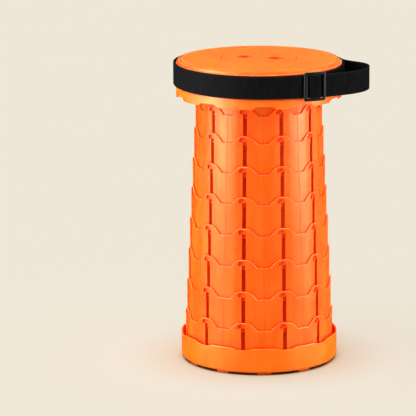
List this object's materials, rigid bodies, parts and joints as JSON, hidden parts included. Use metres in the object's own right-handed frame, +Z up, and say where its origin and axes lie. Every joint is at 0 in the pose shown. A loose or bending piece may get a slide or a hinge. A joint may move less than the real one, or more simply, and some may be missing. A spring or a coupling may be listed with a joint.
{
  "type": "telescopic stool",
  "caption": "Round collapsible stool: nested scalloped rings slide out of a shallow base and carry a flat seat cap with finger holes and a webbing carry strap.",
  "frame": {"origin": "on the stool's axis at floor level, at the centre of the pad under the base", "axes": "+Z up along the axis, towards the seat; -Y faces the picture's viewer; +X towards the carry loop"},
  "size_m": [0.2948, 0.2585, 0.463],
  "materials": {
    "orange_plastic": "satin injection-moulded plastic",
    "seat_plastic": "satin injection-moulded plastic with fine concentric rings",
    "black_webbing": "woven polyester webbing",
    "black_plastic": "semi-gloss moulded plastic",
    "label_patch": "bare sewn patch"
  },
  "bodies": {
    "base": {"base_tray": "orange_plastic", "base_ring": "orange_plastic"},
    "ring_1_body": {"ring_1": "orange_plastic"},
    "ring_2_body": {"ring_2": "orange_plastic"},
    "ring_3_body": {"ring_3": "orange_plastic"},
    "ring_4_body": {"ring_4": "orange_plastic"},
    "ring_5_body": {"ring_5": "orange_plastic"},
    "ring_6_body": {"ring_6": "orange_plastic"},
    "ring_7_body": {"ring_7": "orange_plastic"},
    "ring_8_body": {"ring_8": "orange_plastic"},
    "seat": {"seat_ring": "orange_plastic", "seat_cap": "seat_plastic", "strap_band": "black_webbing", "strap_handle": "black_webbing", "strap_slider": "black_plastic", "strap_label": "label_patch"}
  },
  "joints": [
    {"name": "ring_1_slide", "type": "slide", "parent": "base", "child": "ring_1_body", "axis": [0, 0, 1], "range_m": [-0.0111, 0]},
    {"name": "ring_2_slide", "type": "slide", "parent": "ring_1_body", "child": "ring_2_body", "axis": [0, 0, 1], "range_m": [-0.0478, 0]},
    {"name": "ring_3_slide", "type": "slide", "parent": "ring_2_body", "child": "ring_3_body", "axis": [0, 0, 1], "range_m": [-0.0477, 0]},
    {"name": "ring_4_slide", "type": "slide", "parent": "ring_3_body", "child": "ring_4_body", "axis": [0, 0, 1], "range_m": [-0.048, 0]},
    {"name": "ring_5_slide", "type": "slide", "parent": "ring_4_body", "child": "ring_5_body", "axis": [0, 0, 1], "range_m": [-0.0475, 0]},
    {"name": "ring_6_slide", "type": "slide", "parent": "ring_5_body", "child": "ring_6_body", "axis": [0, 0, 1], "range_m": [-0.047, 0]},
    {"name": "ring_7_slide", "type": "slide", "parent": "ring_6_body", "child": "ring_7_body", "axis": [0, 0, 1], "range_m": [-0.046, 0]},
    {"name": "ring_8_slide", "type": "slide", "parent": "ring_7_body", "child": "ring_8_body", "axis": [0, 0, 1], "range_m": [-0.0455, 0]},
    {"name": "seat_slide", "type": "slide", "parent": "ring_8_body", "child": "seat", "axis": [0, 0, 1], "range_m": [-0.0417, 0]}
  ]
}
